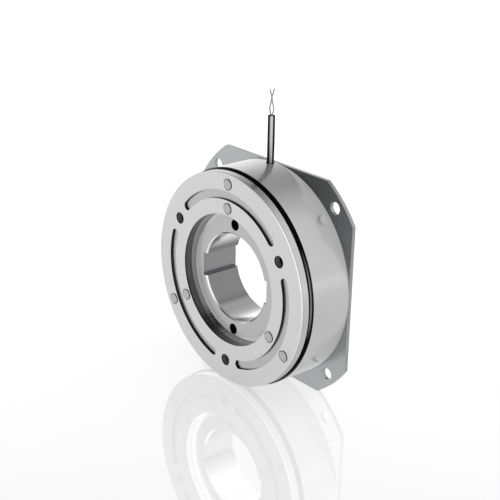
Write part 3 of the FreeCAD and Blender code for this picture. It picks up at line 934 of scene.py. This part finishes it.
class CLUTCH_OT_rotor(bpy.types.Operator):
    """Adds the keyed hub and the two pole rings, and finishes the rings between them"""

    bl_idname = "clutch.rotor"
    bl_label = "Rotor"

    def execute(self, context):
        front, rear = span("rotor_hub")
        cone_rear = front + HUB_CONE_DEPTH
        flange_rear = cone_rear + HUB_FLANGE_T
        bm = bmesh.new()
        turn(bm, [(BORE_R + BORE_CHAMFER, front), (HUB_FACE_R, front), (RECESS_R, cone_rear),
                  (RECESS_R, flange_rear), (HUB_R, flange_rear), (HUB_R, rear),
                  (BORE_R + BORE_CHAMFER, rear), (BORE_R, rear - BORE_CHAMFER),
                  (BORE_R, front + BORE_CHAMFER)])
        hub = finish_mesh("hub", bm)
        bm = bmesh.new()
        block(bm, [(-KEYWAY_FLOOR, -KEYWAY_HALF), (KEYWAY_FLOOR, -KEYWAY_HALF), (KEYWAY_FLOOR, KEYWAY_HALF),
                   (-KEYWAY_FLOOR, KEYWAY_HALF)], front - MM, rear + MM)
        cut(hub, bm)
        bm = bmesh.new()
        for z in (-JACK_HOLE_PITCH_R, JACK_HOLE_PITCH_R):
            pin(bm, JACK_HOLE_R, 0, z, front - MM, front + JACK_HOLE_DEPTH, HOLE_STEPS)
        cut(hub, bm)
        break_edges(hub, settings().edge_break)
        dress(hub, rotor_steel(), "rotor", "hub_steel", "rotor_hub")
        # The bore walls get painted highlights at top and bottom and painted shade at their sides
        finish_faces(hub, bore_steel_painted_highlights(), lambda face: is_wall(face) and off_axis(face) < BORE_R)
        finish_faces(hub, keyway_steel(),
                     lambda face: is_wall(face) and BORE_R < off_axis(face) < HUB_FACE_R)
        # The bore's chamfer gets a painted glint at its lower left
        finish_faces(hub, polished_steel_painted_glint(),
                     lambda face: 0.5 < abs(face.normal.y) < 0.9 and off_axis(face) < BORE_R + BORE_CHAMFER)

        front, rear = span("rotor_inner_pole")
        disc_rear = front + ROTOR_DISC_T
        lap_r = INNER_POLE_R - LINING_LAP
        lap_rear = front + LINING_T
        bm = bmesh.new()
        turn(bm, [(RECESS_R, front), (lap_r, front), (lap_r, lap_rear), (INNER_POLE_R, lap_rear),
                  (INNER_POLE_R, disc_rear), (INNER_TUBE_R, disc_rear), (INNER_TUBE_R, rear),
                  (RECESS_R, rear)])
        inner = finish_mesh("inner_pole", bm)
        break_edges(inner, settings().edge_break)
        dress(inner, rotor_steel(), "rotor", "rotor_steel", "rotor_inner_pole")
        finish_faces(inner, recess_steel(),
                     lambda face: is_wall(face) and off_axis(face) < RECESS_R + MM)

        front, rear = span("rotor_outer_pole")
        disc_rear = front + ROTOR_DISC_T
        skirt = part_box("rotor_outer_pole")[1].x
        lap_r = OUTER_POLE_BORE_R + LINING_LAP
        bm = bmesh.new()
        turn(bm, [(lap_r, front), (skirt, front), (skirt, rear), (skirt - OUTER_SKIRT_WALL, rear),
                  (skirt - OUTER_SKIRT_WALL, disc_rear), (OUTER_POLE_BORE_R, disc_rear),
                  (OUTER_POLE_BORE_R, lap_rear), (lap_r, lap_rear)])
        outer = finish_mesh("outer_pole", bm)
        break_edges(outer, settings().edge_break)
        # The outer pole sits in the gap, so it gets the near-black steel as painted shade
        dress(outer, shaded_steel(), "rotor", "rotor_steel", "rotor_outer_pole")
        paint_node("flux_barrier_ring", barrier_bronze())
        paint_node("friction_lining", lining_compound())
        return {"FINISHED"}


class CLUTCH_OT_armature(bpy.types.Operator):
    """Adds the armature disc and the rivets that hold the spring to it"""

    bl_idname = "clutch.armature"
    bl_label = "Armature and rivets"

    def rivet_row(self, name, pitch, node):
        front, rear = span(node)
        face = span("diaphragm_spring")[0]
        seat = face + RIVET_SEAT_DEPTH
        shoulder, rise = RIVET_SHOULDER
        profile = [(share * RIVET_HEAD_R, front + drop) for share, drop in RIVET_CROWN]
        profile += [(shoulder * RIVET_HEAD_R, face - rise), (RIVET_HEAD_R, face), (RIVET_HEAD_R, seat),
                    (RIVET_R, seat), (RIVET_R, rear - RIVET_TAIL_DEPTH), (RIVET_TAIL_R, rear), (0, rear)]
        bm = bmesh.new()
        for angle in SLOT_ANGLES:
            turn(bm, profile, *polar(pitch, angle), PIN_STEPS)
        rivets = finish_mesh(name, bm)
        break_edges(rivets, RIVET_EDGE, 2)
        dress(rivets, rivet_steel(), "armature", "rivet_steel", node)
        # The rivets' walls get the near-black steel as painted shade
        finish_faces(rivets, painted_shade_wall_steel())

    def execute(self, context):
        front, rear = span("armature_disc")
        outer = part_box("armature_disc")[1].x
        bm = bmesh.new()
        ring(bm, RECESS_R, outer, front, rear)
        disc = finish_mesh("armature", bm)
        bm = bmesh.new()
        for angle in WEB_ANGLES:
            pin(bm, SLEEVE_HOLE_R, *polar(SLOT_PITCH_R, angle), front - MM, rear + MM, HOLE_STEPS)
        for x, z in rivet_places():
            pin(bm, RIVET_R + RIVET_FIT_IN_DISC, x, z, front - MM, rear + MM)
        cut(disc, bm)
        bm = bmesh.new()
        ring(bm, SLOT_PITCH_R - RELIEF_HALF_WIDTH, SLOT_PITCH_R + RELIEF_HALF_WIDTH, front - MM,
             front + RELIEF_DEPTH)
        cut(disc, bm)
        break_edges(disc, settings().edge_break)
        dress(disc, rotor_steel(), "armature", "armature_steel", "armature_disc")
        finish_faces(disc, armature_bore_steel(),
                     lambda face: is_wall(face) and off_axis(face) < RECESS_R + MM)
        finish_faces(disc, rim_steel(), lambda face: is_wall(face) and off_axis(face) > outer - MM)
        self.rivet_row("rivets_outer", RIVET_PITCH_OUTER_R, "outer_rivets")
        self.rivet_row("rivets_inner", RIVET_PITCH_INNER_R, "inner_rivets")
        return {"FINISHED"}


class CLUTCH_OT_spring(bpy.types.Operator):
    """Adds the slotted diaphragm spring and the sleeves behind its webs"""

    bl_idname = "clutch.spring"
    bl_label = "Diaphragm spring"

    def execute(self, context):
        front, rear = span("diaphragm_spring")
        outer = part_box("diaphragm_spring")[1].x
        bm = bmesh.new()
        ring(bm, RECESS_R, outer, front, rear)
        spring = finish_mesh("spring", bm)
        bm = bmesh.new()
        for angle in SLOT_ANGLES:
            block(bm, slot_outline(angle), front - MM, rear + MM)
        for angle in WEB_ANGLES:
            pin(bm, WEB_HOLE_R, *polar(SLOT_PITCH_R, angle), front - MM, rear + MM, HOLE_STEPS)
        for x, z in rivet_places():
            pin(bm, RIVET_HEAD_R + RIVET_SEAT_MARGIN, x, z, front - MM, front + RIVET_SEAT_DEPTH)
        cut(spring, bm)
        bm = bmesh.new()
        for x, z in rivet_places():
            pin(bm, RIVET_R + RIVET_FIT_IN_SPRING, x, z, front - MM, rear + MM)
        cut(spring, bm)
        break_edges(spring, settings().sheet_edge_break, 2)
        dress(spring, spring_steel(), "driven", "spring_steel", "diaphragm_spring")
        # The spring's slot and hole walls get the near-black steel as painted shade
        finish_faces(spring, painted_shade_wall_steel(),
                     lambda face: is_wall(face) and off_axis(face) < outer - MM)
        front, rear = span("web_sleeves")
        bm = bmesh.new()
        for angle in WEB_ANGLES:
            turn(bm, [(WEB_HOLE_R, rear), (WEB_HOLE_R, front), (SLEEVE_R, front), (SLEEVE_R, rear)],
                 *polar(SLOT_PITCH_R, angle), HOLE_STEPS)
        sleeves = finish_mesh("sleeves", bm)
        break_edges(sleeves, SLEEVE_EDGE, 2)
        dress(sleeves, sleeve_steel(), "driven", "rivet_steel", "web_sleeves")
        return {"FINISHED"}


class CLUTCH_OT_stage(bpy.types.Operator):
    """Adds the pale floor, the soft studio light all round and the camera"""

    bl_idname = "clutch.stage"
    bl_label = "Floor, light and camera"

    def camera(self):
        azimuth, elevation, roll = CAMERA_ANGLES
        target = Vector(CAMERA_TARGET_MM) * MM
        back = Vector((math.sin(azimuth) * math.cos(elevation), -math.cos(azimuth) * math.cos(elevation),
                       math.sin(elevation)))
        level = Vector((math.cos(azimuth), math.sin(azimuth), 0.0))
        upright = back.cross(level)
        right = math.cos(roll) * level + math.sin(roll) * upright
        up = -math.sin(roll) * level + math.cos(roll) * upright
        lens = bpy.data.cameras.new("Camera")
        lens.lens = FOCAL_LENGTH
        lens.sensor_width = SENSOR_WIDTH
        lens.sensor_fit = "HORIZONTAL"
        lens.clip_start = 0.05
        lens.clip_end = 60.0
        view = bpy.data.objects.new("Camera", lens)
        turned_to = Matrix((right, up, back)).transposed().to_4x4()
        view.matrix_world = Matrix.Translation(target + back * CAMERA_DISTANCE_MM * MM) @ turned_to
        bpy.context.scene.collection.objects.link(view)
        bpy.context.scene.camera = view

    def ground(self):
        bm = bmesh.new()
        bmesh.ops.create_circle(bm, cap_ends=True, segments=FLOOR_STEPS, radius=FLOOR_R)
        bmesh.ops.translate(bm, verts=bm.verts, vec=(0, 0, CAD_BOX[0][2]))
        floor = finish_mesh("floor", bm)
        floor.data.materials.append(pale_floor())

    def sky(self):
        """White sky, dimmer in front and dimmer still above at the left."""
        world = bpy.data.worlds.new("Studio")
        world.use_nodes = True
        tree = world.node_tree
        light = tree.nodes["Background"]
        light.inputs["Color"].default_value = (*WHITE, 1.0)
        x, y, z = axes(tree, tree.nodes.new("ShaderNodeTexCoord").outputs["Generated"])
        back = ramp(tree, y, -0.75, 0.15, 0.25, 1.4)
        patch = times(tree, ramp(tree, z, 0.25, 0.6), ramp(tree, x, 0.35, -0.25, 0.0, 0.65))
        strength = times(tree, back, math_node(tree, "SUBTRACT", 1.0, patch))
        tree.links.new(strength, light.inputs["Strength"])
        bpy.context.scene.world = world

    def execute(self, context):
        self.camera()
        self.ground()
        self.sky()
        context.scene.view_settings.view_transform = "Standard"
        return {"FINISHED"}


class CLUTCH_PT_panel(bpy.types.Panel):
    """Lists the clutch's pieces in the sidebar"""

    bl_idname = "CLUTCH_PT_panel"
    bl_label = "Electromagnetic clutch"
    bl_space_type = "VIEW_3D"
    bl_region_type = "UI"
    bl_category = "Clutch"

    def draw(self, context):
        for label in ClutchSettings.__annotations__:
            self.layout.prop(context.scene.clutch, label)
        for piece in PIECES:
            self.layout.operator(piece.bl_idname)


PIECES = (CLUTCH_OT_stage, CLUTCH_OT_cable, CLUTCH_OT_flange, CLUTCH_OT_coil_body, CLUTCH_OT_rotor,
          CLUTCH_OT_armature, CLUTCH_OT_spring)


def register():
    for group in (ClutchSettings, *PIECES, CLUTCH_PT_panel):
        bpy.utils.register_class(group)
    bpy.types.Scene.clutch = bpy.props.PointerProperty(type=ClutchSettings)


def unregister():
    del bpy.types.Scene.clutch
    for group in (CLUTCH_PT_panel, *reversed(PIECES), ClutchSettings):
        bpy.utils.unregister_class(group)


def main():
    register()
    for piece in PIECES:
        family, name = piece.bl_idname.split(".")
        getattr(getattr(bpy.ops, family), name)()


if __name__ == "__main__":
    main()
